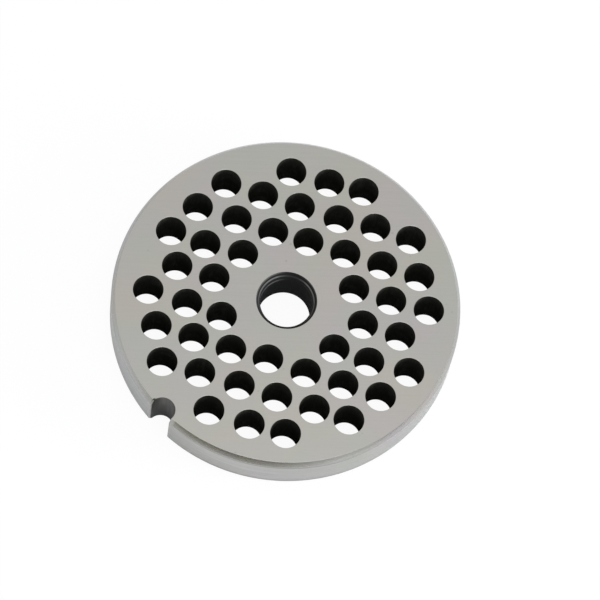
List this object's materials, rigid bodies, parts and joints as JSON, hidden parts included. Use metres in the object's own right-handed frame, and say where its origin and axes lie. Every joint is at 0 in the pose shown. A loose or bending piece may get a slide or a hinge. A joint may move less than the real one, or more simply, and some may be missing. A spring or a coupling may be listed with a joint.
{
  "type": "meat grinder plate",
  "caption": "Round perforated steel plate of a meat grinder, with straight cutting holes, a centre bore with stepped mouths and a locating notch in the rim.",
  "frame": {"origin": "centre of the lower face, on the axis of the bore", "axes": "+Z along the axis of the plate, towards its upper face; the locating notch in the rim faces -Y; the two faces are alike"},
  "size_m": [0.082, 0.0819, 0.012],
  "materials": {
    "ground_steel": "satin"
  },
  "bodies": {
    "root": {"grinder_plate": "ground_steel"}
  },
  "joints": []
}
